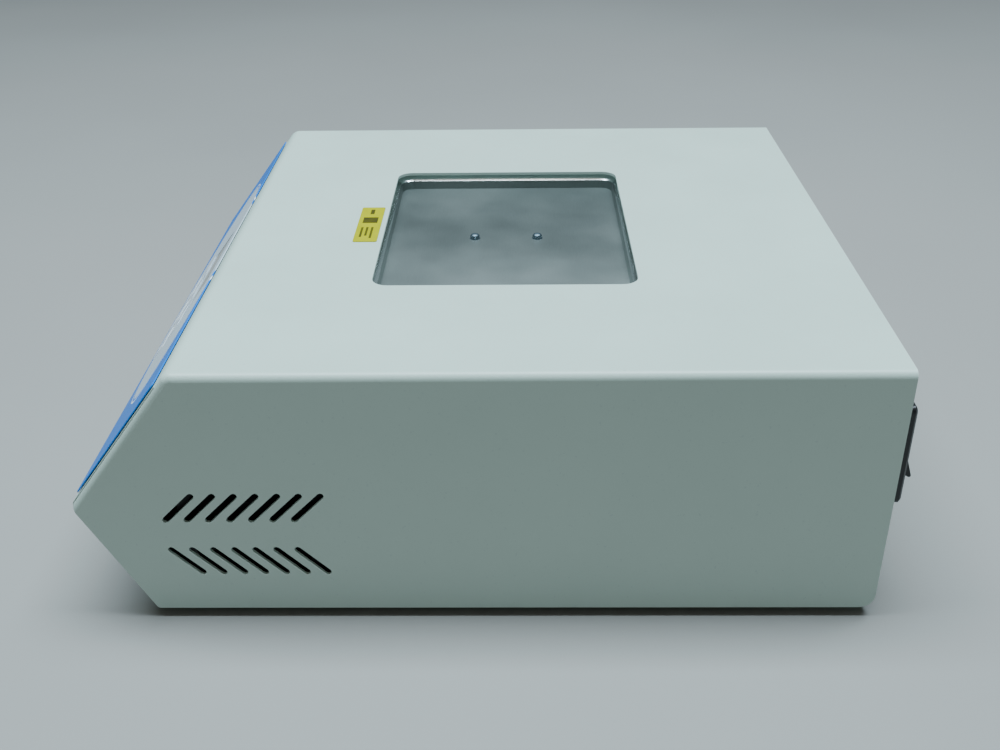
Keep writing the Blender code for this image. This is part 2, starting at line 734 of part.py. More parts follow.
def make_heater():
    pad = bmesh.new()
    add_prism(pad, rectangle(0.0, 0.0, 55.0, 44.5, 4.0), 81.0, TRAY_BOTTOM - GAP)
    add_object("heater_pad", pad, look("orange_silicone", (0.62, 0.16, 0.04), 0.6), PLATFORM)
    foam = bmesh.new()
    add_prism(foam, rectangle(0.0, 0.0, 55.0, 44.5, 4.0), PLATE_TOP + GAP, 80.7)
    add_object("insulation_block", foam, look("pale_foam", (0.75, 0.73, 0.66), 0.9), PLATFORM)
    probe = bmesh.new()
    profile = ((0, -38.4), (1.5, -38.4), (1.5, -58.0), (1.1, -58.0), (1.1, -62.0), (0, -62.0))
    add_lathe(probe, profile, (30.0, 0.0, 86.5), "Y", 12)
    add_object("temperature_probe", probe, steel(), PLATFORM)
    nylon = look("white_nylon", (0.8, 0.8, 0.77), 0.5)
    for number, (x, y) in enumerate(four_corners(STANDOFF_AT, PLATFORM[:2]), 1):
        post = bmesh.new()
        add_cylinder(post, 4.0, PLATE_TOP + GAP, TRAY_BOTTOM - GAP, segments=16)
        add_object(f"tray_standoff_{number}", post, nylon, (x, y, 0.0))


def make_platform():
    """The plate that orbits, with a bearing hub and four bushed bosses under it."""
    bm = bmesh.new()
    add_prism(bm, rectangle(0.0, 0.0, *PLATE_HALF, 8.0), PLATE_BOTTOM, PLATE_TOP)
    plate = add_object("platform_plate", bm, aluminium(), PLATFORM)
    bosses = bmesh.new()
    add_cylinder(bosses, 16.0, 55.0, PLATE_BOTTOM + 1, segments=24)
    for x, y in four_corners(IDLER_AT):
        add_cylinder(bosses, 8.5, 57.5, PLATE_BOTTOM + 1, (x, y, 0.0), segments=16)
    combine(plate, "UNION", bosses)
    bores = bmesh.new()
    seat = ((0, 50.0), (11.2, 50.0), (11.2, 63.2), (7.0, 63.2), (7.0, 70.0), (0, 70.0))
    add_lathe(bores, seat, segments=24)
    for x, y in four_corners(IDLER_AT):
        add_cylinder(bores, 3.6, 50.0, 70.0, (x, y, 0.0), segments=16)
    combine(plate, "DIFFERENCE", bores)


def make_outer_race():
    half = [(8.9, 2.6), (6.6, 2.6), (6.6, 3.3), (11.0, 3.3)]
    profile = half + [(radius, -height) for radius, height in reversed(half)]
    race = bmesh.new()
    add_lathe(race, profile, segments=24)
    add_object("bearing_outer_race", race, steel(), (*PLATFORM[:2], BEARING_Z))


def make_crank():
    """Motor shaft, eccentric hub with its counterweight, and the bearing race on its pin."""
    axis = (0.0, AXIS_Y, 0.0)
    bm = bmesh.new()
    hub = ((4.3, 43.0), (10.0, 43.0), (10.0, 54.0), (0, 54.0), (0, 51.0), (4.3, 51.0))
    add_lathe(bm, hub, segments=24)
    crank = add_object("crank_hub", bm, steel(), axis)
    weight = bmesh.new()
    start, stop, steps = math.radians(-74), math.radians(74), 11
    bearings = [start + (stop - start) * step / steps for step in range(steps + 1)]
    outline = [(26 * math.cos(b), 26 * math.sin(b)) for b in bearings]
    outline += [(9 * math.cos(b), 9 * math.sin(b)) for b in reversed(bearings)]
    add_prism(weight, outline, 45.0, 52.0)
    combine(crank, "UNION", weight)
    pin = bmesh.new()
    stepped = ((0, 53.0), (5.6, 53.0), (5.6, 55.8), (4.0, 55.8), (4.0, 63.5), (0, 63.5))
    add_lathe(pin, stepped, (-THROW, 0.0, 0.0), segments=20)
    combine(crank, "UNION", pin)
    race = bmesh.new()
    add_ring(race, 4.3, 6.2, -3.4, 3.4, segments=24)
    add_object("bearing_inner_race", race, steel(), (-THROW, AXIS_Y, BEARING_Z))
    shaft = bmesh.new()
    add_cylinder(shaft, 4.0, 31.0, 50.6)
    add_object("motor_shaft", shaft, steel(), axis)


def make_motor():
    bm = bmesh.new()
    profile = (
        (0, MOTOR_BOTTOM),
        (10.0, MOTOR_BOTTOM),
        (11.0, MOTOR_BOTTOM + 1.5),
        (MOTOR_RADIUS - 2, MOTOR_BOTTOM + 1.5),
        (MOTOR_RADIUS, MOTOR_BOTTOM + 3.5),
        (MOTOR_RADIUS, 34.0),
        (MOTOR_RADIUS + 1, 34.0),
        (MOTOR_RADIUS + 1, 38.0),
        (11.0, 38.0),
        (11.0, 40.0),
        (4.5, 40.0),
        (4.5, 30.5),
        (0, 30.5),
    )
    add_lathe(bm, profile, (0.0, AXIS_Y, 0.0), segments=32)
    add_object("motor_case", bm, look("motor_paint", (0.06, 0.06, 0.065), 0.45))


def make_deck():
    """The fixed plate over the motor, with a raised bearing collar for each idler."""
    bm = bmesh.new()
    add_prism(bm, rectangle(0.0, AXIS_Y, *DECK_HALF, 6.0), DECK_BOTTOM, DECK_TOP)
    deck = add_object("mechanism_deck", bm, galvanised())
    collars = bmesh.new()
    profile = ((4.3, 39.0), (11.0, 39.0), (11.0, 44.0), (8.0, 44.5), (8.0, 50.5), (4.3, 50.5))
    holes = bmesh.new()
    add_cylinder(holes, 12.0, 30.0, 50.0, (0.0, AXIS_Y, 0.0), segments=32)
    for x, y in four_corners(IDLER_AT, (0.0, AXIS_Y)):
        add_lathe(collars, profile, (x, y, 0.0), segments=16)
        add_cylinder(holes, 4.3, 30.0, 60.0, (x, y, 0.0), segments=16)
    combine(deck, "UNION", collars)
    combine(deck, "DIFFERENCE", holes)


def make_idlers():
    """Four small cranks with the same throw as the drive, which keep the platform square."""
    body = ((0, 42.0), (4.0, 42.0), (4.0, 51.0), (9.0, 51.0), (9.0, 55.0), (0, 55.0))
    for number, (x, y) in enumerate(four_corners(IDLER_AT, (0.0, AXIS_Y)), 1):
        bm = bmesh.new()
        add_lathe(bm, body, segments=16)
        idler = add_object(f"idler_crank_{number}", bm, steel(), (x, y, 0.0))
        pin = bmesh.new()
        add_cylinder(pin, 3.0, 54.0, 65.0, (-THROW, 0.0, 0.0), segments=16)
        combine(idler, "UNION", pin)


def make_fan():
    x, y, z = FAN_CENTRE
    bm = bmesh.new()
    add_prism(bm, rectangle(0.0, 0.0, FAN_HALF, FAN_HALF, 3.0), -FAN_DEPTH / 2, FAN_DEPTH / 2, "X")
    frame = add_object("fan_frame", bm, black_plastic(), FAN_CENTRE)
    bore = bmesh.new()
    add_cylinder(bore, FAN_HALF - 1.5, -FAN_DEPTH, FAN_DEPTH, axis="X", segments=36)
    combine(frame, "DIFFERENCE", bore)
    spider = bmesh.new()
    add_prism(spider, spider_outline(11.0, FAN_HALF - 0.9, 1.5), -FAN_DEPTH / 2, -FAN_DEPTH / 2 + 3, "X")
    combine(frame, "UNION", spider)
    hub = bmesh.new()
    cup = ((0, -4.0), (10.5, -4.0), (10.5, 5.0), (9.5, 6.0), (0, 6.0))
    add_lathe(hub, cup, axis="X", segments=28)
    rotor = add_object("fan_rotor", hub, look("fan_plastic", (0.03, 0.03, 0.032), 0.5), FAN_CENTRE)
    blades = bmesh.new()
    for index in range(7):
        add_loft(blades, blade_sections(2 * math.pi * index / 7))
    combine(rotor, "UNION", blades)
    bracket = bmesh.new()
    face = x - FAN_DEPTH / 2 - GAP
    path = ((face - 13, PAN_TOP + GAP), (face, PAN_TOP + GAP), (face, z + 18))
    add_prism(bracket, strip(path, -SHEET, (0.0, 0.0, 0.0)), y - 15, y + 15, "Y")
    holder = add_object("fan_bracket", bracket, galvanised())
    window = bmesh.new()
    add_cylinder(window, 12.0, -8.0, 8.0, (face, y, z), "X", 24)
    combine(holder, "DIFFERENCE", window)


def spider_outline(hub, reach, half_arm):
    """A round hub with four straight arms."""
    outline = []
    lean = math.asin(half_arm / hub)
    for quarter in range(4):
        base = quarter * math.pi / 2
        turn = Matrix.Rotation(base, 2)
        outline.append(turn @ Vector((reach, -half_arm)))
        outline.append(turn @ Vector((reach, half_arm)))
        span = math.pi / 2 - 2 * lean
        for step in range(6):
            bearing = base + lean + span * step / 5
            outline.append(Vector((hub * math.cos(bearing), hub * math.sin(bearing))))
    return outline


def blade_sections(bearing):
    """Cross-sections of one fan blade, from the hub to the tip."""
    radial = Vector((0.0, math.cos(bearing), math.sin(bearing)))
    around = Vector((0.0, -math.sin(bearing), math.cos(bearing)))
    along = Vector((1.0, 0.0, 0.0))
    sections = []
    for radius, chord, pitch in ((9.6, 8.0, 50.0), (16.0, 10.0, 38.0), (22.4, 11.5, 30.0)):
        angle = math.radians(pitch)
        line = around * math.cos(angle) + along * math.sin(angle)
        thick = along * math.cos(angle) - around * math.sin(angle)
        middle = radial * radius + along * 1.0
        bow = thick * 0.9
        points = []
        for share, lift in ((-0.5, 0.0), (0.0, 1.0), (0.5, 0.0)):
            points.append(middle + line * chord * share + bow * lift - thick * 0.5)
        for share, lift in ((0.5, 0.0), (0.0, 1.0), (-0.5, 0.0)):
            points.append(middle + line * chord * share + bow * lift + thick * 0.5)
        sections.append(points)
    return sections


def add_board(name, centre, half, top):
    bm = bmesh.new()
    add_prism(bm, rectangle(*centre, *half, 1.0), top - BOARD_THICK, top)
    return add_object(name, bm, circuit_board())


def make_power_supply():
    """Open-frame supply at the rear left: board with capacitors, transformer and heat sink."""
    top = POWER_BOARD[2]
    board = add_board("power_board", *POWER_BOARD)
    cans = bmesh.new()
    for x, y, radius, height in ((-88.0, 88.0, 8.0, 25.0), (-70.0, 86.0, 6.0, 17.0), (-28.0, 84.0, 5.0, 13.0)):
        rim = ((0, -1.0), (radius, -1.0), (radius, height - 1), (radius - 1, height), (0, height))
        add_lathe(cans, rim, (x, y, top), segments=20)
    combine(board, "UNION", cans)
    core = bmesh.new()
    add_prism(core, rectangle(-46.0, 104.0, 14.0, 12.0, 1.0), top + GAP, top + 18.0)
    add_object("power_transformer", core, look("transformer_tape", (0.6, 0.5, 0.12), 0.5))
    fins = bmesh.new()
    outline = [(-96.0, 120.0), (-96.0, 117.0)]
    for index in range(7):
        left = -95.0 + index * 4.0
        outline += [(left, 117.0), (left, 106.0), (left + 1.6, 106.0), (left + 1.6, 117.0)]
    outline += [(-68.0, 117.0), (-68.0, 120.0)]
    add_prism(fins, outline, top + GAP, top + 27.0)
    add_object("power_heatsink", fins, aluminium())


def make_control_board():
    board = add_board("control_board", *CONTROL_BOARD)
    top = CONTROL_BOARD[2]
    chips = ((-60.0, -90.0, 9.0, 9.0, 2.0), (-84.0, -92.0, 6.0, 4.0, 2.0), (-36.0, -94.0, 7.0, 4.0, 2.0))
    headers = ((-80.0, -75.0, 8.0, 3.0, 8.0), (-30.0, -75.0, 12.0, 3.0, 8.0))
    parts = bmesh.new()
    for x, y, half_x, half_y, height in chips + headers:
        add_prism(parts, rectangle(x, y, half_x, half_y), top - 0.5, top + height)
    combine(board, "UNION", parts)


def add_lead(bm, path, radius):
    """A round lead swept along straight runs with smoothed corners."""
    points = [Vector(point) for point in path]
    smooth = [points[0]]
    for before, here, after in zip(points, points[1:], points[2:]):
        smooth += [here.lerp(before, 0.25), here.lerp((before + after) / 2, 0.12), here.lerp(after, 0.25)]
    smooth.append(points[-1])
    loops = []
    for index, here in enumerate(smooth):
        ahead = smooth[min(index + 1, len(smooth) - 1)] - smooth[max(index - 1, 0)]
        ahead.normalize()
        side = ahead.cross(Vector((0.13, 0.29, 0.95))).normalized()
        up = side.cross(ahead)
        bearings = [math.pi * step / 4 for step in range(8)]
        loops.append([here + (side * math.cos(b) + up * math.sin(b)) * radius for b in bearings])
    add_loft(bm, loops)


def make_leads():
    brown = look("brown_insulation", (0.16, 0.06, 0.02), 0.5)
    level = SOCKET[1] - 2.0
    routes = {
        "live": ((-7.0, 88.0, 50.0), (20.0, 92.0, 24.0), (-19.0, 92.0, 18.0)),
        "neutral": ((7.0, 82.0, 46.0), (20.0, 80.0, 19.0), (-19.0, 80.0, 18.0)),
    }
    for name, (first, second, last) in routes.items():
        bm = bmesh.new()
        pin_x = SOCKET[0] + first[0]
        add_lead(bm, ((pin_x, 96.6, level), (pin_x, *first[1:]), second, last), 1.3)
        add_object(f"mains_lead_{name}", bm, brown)
    motor = bmesh.new()
    route = ((-29.8, -4.0, 16.0), (-34.0, -30.0, 12.0), (-30.0, -60.0, 18.0), (-30.0, -71.5, 18.0))
    add_lead(motor, route, 1.3)
    add_object("motor_lead", motor, look("red_insulation", (0.5, 0.02, 0.02), 0.5))


def make_sticker():
    bm = bmesh.new()
    add_prism(bm, rectangle(1.4, -49.35, 18.1, 4.75, 0.8), Z_TOP + 0.05, Z_TOP + 0.25)
    add_object("top_sticker", bm, look("yellow_vinyl", (0.85, 0.75, 0.02), 0.45))


def main():
    clear_scene()
    make_top_cover()
    make_base_chassis()
    make_cover_screws()
    make_feet()
    make_overlay()
    make_display()
    make_keys()
    make_key_board()
    make_power_inlet()
    make_inlet_pins()
    make_fuse_drawer()
    make_rocker()
    make_tray()
    make_heater()
    make_platform()
    make_outer_race()
    make_crank()
    make_motor()
    make_deck()
    make_idlers()
    make_fan()
    make_power_supply()
    make_control_board()
    make_leads()
    make_sticker()


main()
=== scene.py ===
import json
import math

import bpy
from mathutils import Euler, Matrix, Vector


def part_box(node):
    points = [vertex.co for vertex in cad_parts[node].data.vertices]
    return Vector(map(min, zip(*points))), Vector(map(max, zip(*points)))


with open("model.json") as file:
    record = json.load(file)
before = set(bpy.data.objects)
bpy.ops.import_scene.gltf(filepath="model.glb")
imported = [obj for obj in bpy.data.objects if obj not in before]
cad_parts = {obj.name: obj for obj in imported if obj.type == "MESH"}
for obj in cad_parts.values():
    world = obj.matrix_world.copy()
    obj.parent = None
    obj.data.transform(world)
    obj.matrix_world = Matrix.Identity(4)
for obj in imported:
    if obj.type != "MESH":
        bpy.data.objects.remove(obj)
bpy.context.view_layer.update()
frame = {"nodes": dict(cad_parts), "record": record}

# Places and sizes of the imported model, in metres
CAD = {name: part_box(name) for name in frame["nodes"]}
Z_TOP = CAD["top_cover"][1].z
Y_TOP_FRONT = -0.1005
Y_NOSE = -0.1392
Z_NOSE = 0.0478
WELL_CENTRE_Y = 0.0057
PLATFORM_X = -0.0015
PIN_SPAN = 0.0254
PIN_MARK_RADIUS = 0.0021
TRAY_CHAMFER_Z = 0.09395
TRAY_FAR_X = -0.060
TRAY_NEAR_X = 0.058
KEY_PITCH = 0.024
KEY_MIDDLE_X = 0.005
KEY_ROW_PITCH = 0.0125
KEY_TOP_ROW = -0.006
KEYS_IN_ROW = 3
ROCKER_CENTRE = (0.1065, 0.1362, 0.0624)

# Sloping front: local y up the slope, local z out of it
SLOPE = math.atan2(Z_TOP - Z_NOSE, Y_TOP_FRONT - Y_NOSE)
SLOPE_FRAME = Matrix.Translation((0.0, (Y_TOP_FRONT + Y_NOSE) / 2, (Z_TOP + Z_NOSE) / 2))
SLOPE_FRAME = SLOPE_FRAME @ Matrix.Rotation(SLOPE, 4, "X")

# Prints on the sloping front, across it and up it from its centre, in metres
OVAL_HALF_WIDTH = 0.092
OVAL_HALF_HEIGHT = 0.0262
OVAL_MIDDLE = 0.001
CAPTION_HALF_WIDTH = 0.0052
CAPTION_HALF_HEIGHT = 0.00045
CAPTION_MIDDLE = 0.0001
TRIANGLE_HALF_HEIGHT = 0.0018
TRIANGLE_HALF_BASE = 0.0027

# Bars on the yellow label: middle x and y from the label's centre, half x and half y
STICKER_BARS = (
    (0.0090, 0.0016, 0.0056, 0.00045),
    (0.0078, -0.0004, 0.0044, 0.00045),
    (0.0085, -0.0024, 0.0050, 0.00045),
    (-0.0040, 0.0, 0.0030, 0.0030),
    (-0.0130, 0.0, 0.0025, 0.0008),
)

# Marks on the power rocker, in metres from its centre
ROCKER_BAR_Z = 0.0060
ROCKER_BAR_HALF_WIDTH = 0.00035
ROCKER_BAR_HALF_HEIGHT = 0.0022
ROCKER_RING_Z = -0.0062
ROCKER_RING_RADIUS = 0.0019
ROCKER_RING_HALF_LINE = 0.00032

# Grain of the surfaces: scale of the noise, and depth of its bumps in metres
FILM_GRAIN = 2600.0
PLASTIC_GRAIN = 1800.0
RUBBER_GRAIN = 900.0
FOAM_GRAIN = 420.0
FINE_DEPTH = 0.00002
PLASTIC_DEPTH = 0.00004
FOAM_DEPTH = 0.0002

# Where most of a noise's values lie, and how far a rounded normal leans on an edge, as a cosine
NOISE_SPAN = (0.3, 0.7)
EDGE_SPAN = (0.995, 0.85)
EDGE_SAMPLES = 4

# Moulded pieces: darker and lighter tone, least and greatest roughness
MOULDED = {
    "black_plastic": ((20, 20, 21), (28, 28, 29), 0.34, 0.46),
    "black_rubber": ((22, 22, 22), (32, 31, 30), 0.7, 0.85),
    "drawer_plastic": ((26, 26, 28), (34, 34, 36), 0.36, 0.48),
    "orange_silicone": ((182, 92, 44), (200, 106, 54), 0.5, 0.65),
    "pale_foam": ((206, 202, 190), (224, 220, 208), 0.85, 0.95),
    "white_nylon": ((220, 220, 214), (232, 232, 226), 0.4, 0.5),
    "motor_paint": ((34, 34, 36), (46, 46, 48), 0.35, 0.5),
    "fan_plastic": ((22, 22, 24), (30, 30, 32), 0.4, 0.5),
    "transformer_tape": ((196, 174, 84), (214, 192, 98), 0.35, 0.5),
    "brown_insulation": ((98, 56, 30), (112, 66, 38), 0.4, 0.5),
    "red_insulation": ((170, 28, 26), (188, 38, 34), 0.4, 0.5),
}
WORN_PALER = 26

# Smoothing, which shades over edges gentler than the angle
WELD_DISTANCE = 0.000002
SMOOTH_ANGLE = math.radians(40)
FACE_WEIGHT = 100

FLOOR_HALF = 6.0

# Lights: name, place, width, depth, watts and colour; both face the target
LIGHT_TARGET = (0.0, 0.0, 0.05)
LIGHTS = (
    ("overhead", (0.0, 0.0, 1.5), 0.55, 1.6, 52.0, (0.81, 1.0, 1.13)),
    ("strip", (0.75, 0.0, 1.3), 0.16, 1.2, 2.0, (1.0, 0.99, 0.94)),
)
WORLD_COLOUR = (1.0, 1.0, 0.96, 1.0)
WORLD_STRENGTH = 0.05

# Camera, turned in degrees, with its lens and sensor in millimetres
CAMERA_PLACE = (0.4288, 0.0102, 0.2719)
CAMERA_TURN = (60.265, 0.647, 90.660)
CAMERA_LENS = 40.86
CAMERA_SENSOR = 36.0
CAMERA_NEAR = 0.01


def srgb(red, green, blue):
    """A linear colour from 8-bit display values."""
    shares = [value / 255 for value in (red, green, blue)]
    linear = [s / 12.92 if s <= 0.04045 else ((s + 0.055) / 1.055) ** 2.4 for s in shares]
    return (*linear, 1.0)


class Shader:
    """A node material under construction, in object coordinates, which are metres here."""

    def __init__(self, name):
        self.material = bpy.data.materials.new(name)
        self.material.use_nodes = True
        self.tree = self.material.node_tree
        self.bsdf = self.tree.nodes["Principled BSDF"]
        self.place = self.tree.nodes.new("ShaderNodeTexCoord").outputs["Object"]

    def set(self, **values):
        """Fixed values of the surface, with underscores for spaces in their names."""
        for name, value in values.items():
            self.bsdf.inputs[name.replace("_", " ")].default_value = value
        return self

    def link(self, source, target):
        self.tree.links.new(source, target)

    def feed(self, socket, value):
        """Links a socket to another, or gives it a plain value."""
        if isinstance(value, bpy.types.NodeSocket):
            self.link(value, socket)
        else:
            socket.default_value = value

    def stretched(self, scale):
        """The place of each point, scaled by axis: a greater scale means narrower lines."""
        node = self.tree.nodes.new("ShaderNodeMapping")
        node.inputs["Scale"].default_value = scale
        self.link(self.place, node.inputs["Vector"])
        return node.outputs[0]

    def noise(self, scale, detail=2.0, rough=0.5, at=None):
        node = self.tree.nodes.new("ShaderNodeTexNoise")
        node.inputs["Scale"].default_value = scale
        node.inputs["Detail"].default_value = detail
        node.inputs["Roughness"].default_value = rough
        self.link(at or self.place, node.inputs["Vector"])
        return node.outputs["Fac"]

    def cells(self, scale, output="Distance"):
        node = self.tree.nodes.new("ShaderNodeTexVoronoi")
        node.inputs["Scale"].default_value = scale
        self.link(self.place, node.inputs["Vector"])
        return node.outputs[output]

    def remap(self, value, low, high, to_low=0.0, to_high=1.0):
        """A value from one range carried to another, and held at its ends."""
        node = self.tree.nodes.new("ShaderNodeMapRange")
        self.feed(node.inputs["Value"], value)
        ends = {"From Min": low, "From Max": high, "To Min": to_low, "To Max": to_high}
        for name, number in ends.items():
            node.inputs[name].default_value = number
        return node.outputs[0]

    def spread(self, noise, to_low, to_high):
        """The usual range of a noise, carried to another range."""
        return self.remap(noise, *NOISE_SPAN, to_low, to_high)

    def math(self, kind, a, b=0.0):
        node = self.tree.nodes.new("ShaderNodeMath")
        node.operation = kind
        self.feed(node.inputs[0], a)
        self.feed(node.inputs[1], b)
        return node.outputs[0]

    def times(self, a, b):
        return self.math("MULTIPLY", a, b)

    def minus(self, a, b):
        return self.math("SUBTRACT", a, b)

    def distance(self, x, y):
        """How far a point is from the middle, from its two measures."""
        squares = self.math("ADD", self.times(x, x), self.times(y, y))
        return self.math("SQRT", squares)

    def along(self, direction):
        """How far each point lies along a direction, in metres."""
        node = self.tree.nodes.new("ShaderNodeVectorMath")
        node.operation = "DOT_PRODUCT"
        self.link(self.place, node.inputs[0])
        node.inputs[1].default_value = direction
        return node.outputs["Value"]

    def within(self, value, half):
        """1 where a value is nearer to nought than half, else 0."""
        return self.math("LESS_THAN", self.math("ABSOLUTE", value), half)

    def disc(self, centre, radius):
        """1 inside an upright cylinder about a place."""
        x = self.minus(self.along((1.0, 0.0, 0.0)), centre.x)
        y = self.minus(self.along((0.0, 1.0, 0.0)), centre.y)
        return self.math("LESS_THAN", self.distance(x, y), radius)

    def repeat(self, value, middle, pitch):
        """A value measured from the nearest of a row of evenly spaced places."""
        node = self.tree.nodes.new("ShaderNodeMath")
        node.operation = "WRAP"
        self.link(self.minus(value, middle), node.inputs[0])
        node.inputs[1].default_value = pitch / 2
        node.inputs[2].default_value = -pitch / 2
        return node.outputs[0]

    def slope_place(self):
        """Across the sloping front, and up it, from its centre."""
        up_slope = Vector((0.0, math.cos(SLOPE), math.sin(SLOPE)))
        height = self.minus(self.along(up_slope), SLOPE_FRAME.translation.dot(up_slope))
        return self.along((1.0, 0.0, 0.0)), height

    def key_triangle(self):
        """1 inside the triangle printed on each key."""
        across, height = self.slope_place()
        column = self.repeat(across, KEY_MIDDLE_X, KEY_PITCH)
        row = self.repeat(height, KEY_TOP_ROW, KEY_ROW_PITCH)
        upper = self.math("GREATER_THAN", height, KEY_TOP_ROW - KEY_ROW_PITCH / 2)
        pointing = self.times(row, self.remap(upper, 0.0, 1.0, -1.0, 1.0))
        span = (-TRIANGLE_HALF_HEIGHT, TRIANGLE_HALF_HEIGHT)
        half_width = self.remap(pointing, *span, TRIANGLE_HALF_BASE, 0.0)
        inside = self.within(column, half_width)
        return self.times(inside, self.within(pointing, TRIANGLE_HALF_HEIGHT))

    def mix(self, share, a, b):
        node = self.tree.nodes.new("ShaderNodeMix")
        node.data_type = "RGBA"
        self.feed(node.inputs["Factor"], share)
        self.feed(node.inputs["A"], a)
        self.feed(node.inputs["B"], b)
        return node.outputs["Result"]

    def edges(self, radius):
        """1 on edges sharper than the radius, 0 on open faces."""
        bevel = self.tree.nodes.new("ShaderNodeBevel")
        bevel.samples = EDGE_SAMPLES
        bevel.inputs["Radius"].default_value = radius
        shape = self.tree.nodes.new("ShaderNodeNewGeometry")
        dot = self.tree.nodes.new("ShaderNodeVectorMath")
        dot.operation = "DOT_PRODUCT"
        self.link(bevel.outputs["Normal"], dot.inputs[0])
        self.link(shape.outputs["Normal"], dot.inputs[1])
        return self.remap(dot.outputs["Value"], *EDGE_SPAN)

    def bump(self, height, depth, strength):
        """Raises the surface, on top of any bump it already has."""
        node = self.tree.nodes.new("ShaderNodeBump")
        node.inputs["Strength"].default_value = strength
        node.inputs["Distance"].default_value = depth
        self.link(height, node.inputs["Height"])
        if self.bsdf.inputs["Normal"].is_linked:
            self.link(self.bsdf.inputs["Normal"].links[0].from_socket, node.inputs["Normal"])
        self.link(node.outputs["Normal"], self.bsdf.inputs["Normal"])
        return self

    def colour(self, value):
        self.feed(self.bsdf.inputs["Base Color"], value)
        return self

    def roughness(self, value):
        self.feed(self.bsdf.inputs["Roughness"], value)
        return self


def powder_coat():
    """Light grey powder coat: fine orange peel, faint mottling and paler rubbed edges."""
    shader = Shader("powder_coat")
    peel = shader.noise(1500.0, detail=3.0, rough=0.55)
    grain = shader.noise(5200.0, detail=2.0, rough=0.6)
    mottle = shader.noise(18.0, detail=4.0, rough=0.6)
    base = shader.mix(mottle, srgb(186, 206, 195), srgb(195, 215, 204))
    speck = shader.remap(shader.noise(900.0, detail=1.0), 0.70, 0.78, 0.0, 0.35)
    base = shader.mix(speck, base, srgb(170, 186, 182))
    rubbed = shader.times(shader.edges(0.0006), shader.remap(mottle, 0.35, 0.7, 0.1, 0.5))
    shader.colour(shader.mix(rubbed, base, srgb(228, 232, 226)))
    shader.roughness(shader.spread(mottle, 0.36, 0.46))
    shader.bump(peel, depth=0.00006, strength=0.55).bump(grain, depth=FINE_DEPTH, strength=0.35)
    return shader.set(Specular_IOR_Level=0.5).material


def brushed_tray():
    """Milled aluminium gone dull: fine lines, soft clouds, a bright chamfer, darker pins,
    painted shade towards the far end and painted light towards the near end.
    """
    shader = Shader("dull_aluminium")
    lines = shader.noise(260.0, detail=4.0, rough=0.6, at=shader.stretched((1.0, 16.0, 1.0)))
    cloud = shader.noise(16.0, detail=3.0, rough=0.55)
    blot = shader.noise(46.0, detail=3.0, rough=0.55)
    base = shader.mix(shader.remap(cloud, 0.3, 0.72), srgb(122, 132, 129), srgb(150, 160, 156))
    base = shader.mix(shader.remap(blot, 0.58, 0.8, 0.0, 0.3), base, srgb(112, 123, 124))
    base = shader.mix(shader.spread(lines, 0.0, 0.18), base, srgb(172, 182, 181))
    to_local = frame["nodes"]["heated_tray"].matrix_world.inverted()
    far_end = (to_local @ Vector((TRAY_FAR_X, 0.0, 0.0))).x
    near_end = (to_local @ Vector((TRAY_NEAR_X, 0.0, 0.0))).x
    along_tray = shader.along((1.0, 0.0, 0.0))
    # Painted shade: the tray darkens towards its far end
    painted_far_shade = shader.remap(along_tray, far_end, near_end, 0.34, 0.0)
    base = shader.mix(painted_far_shade, base, srgb(84, 92, 90))
    # Painted light: the tray grows paler towards its near end
    paler_share = shader.remap(along_tray, far_end, near_end, 0.0, 0.5)
    base = shader.mix(paler_share, base, srgb(184, 192, 188))
    for side in (-1, 1):
        pin = to_local @ Vector((PLATFORM_X, WELL_CENTRE_Y + side * PIN_SPAN / 2, 0.0))
        base = shader.mix(shader.disc(pin, PIN_MARK_RADIUS), base, srgb(104, 120, 128))
    rim = to_local @ Vector((0.0, 0.0, TRAY_CHAMFER_Z))
    chamfer = shader.math("GREATER_THAN", shader.along((0.0, 0.0, 1.0)), rim.z)
    shader.colour(shader.mix(chamfer, base, srgb(232, 238, 238)))
    dull = shader.remap(cloud, 0.25, 0.75, 0.46, 0.6)
    shader.roughness(shader.minus(dull, shader.times(chamfer, 0.3)))
    shader.bump(lines, depth=FINE_DEPTH, strength=0.3)
    return shader.set(Metallic=1.0).material


def plain_aluminium():
    """Drawn aluminium with fine lines."""
    shader = Shader("drawn_aluminium")
    lines = shader.noise(420.0, detail=3.0, rough=0.6, at=shader.stretched((1.0, 12.0, 1.0)))
    shader.colour(shader.mix(lines, srgb(176, 180, 182), srgb(212, 215, 216)))
    shader.roughness(shader.spread(lines, 0.28, 0.42))
    shader.bump(lines, depth=FINE_DEPTH, strength=0.3)
    return shader.set(Metallic=1.0).material


def zinc_sheet():
    """Galvanised sheet with its crystal spangle."""
    shader = Shader("zinc_sheet")
    spangle = shader.cells(140.0, "Color")
    fine = shader.noise(600.0, detail=3.0)
    share = shader.remap(spangle, 0.1, 0.9)
    shader.colour(shader.mix(share, srgb(150, 154, 158), srgb(196, 200, 203)))
    shader.roughness(shader.spread(fine, 0.34, 0.5))
    shader.bump(fine, depth=FINE_DEPTH, strength=0.3)
    return shader.set(Metallic=1.0).material


def turned_steel():
    """Bright turned steel, faintly stained."""
    shader = Shader("turned_steel")
    lines = shader.noise(500.0, detail=3.0, rough=0.6, at=shader.stretched((1.0, 1.0, 8.0)))
    stain = shader.noise(60.0, detail=3.0)
    shader.colour(shader.mix(stain, srgb(176, 176, 174), srgb(206, 206, 204)))
    shader.roughness(shader.spread(lines, 0.2, 0.34))
    shader.bump(lines, depth=FINE_DEPTH, strength=0.3)
    return shader.set(Metallic=1.0).material


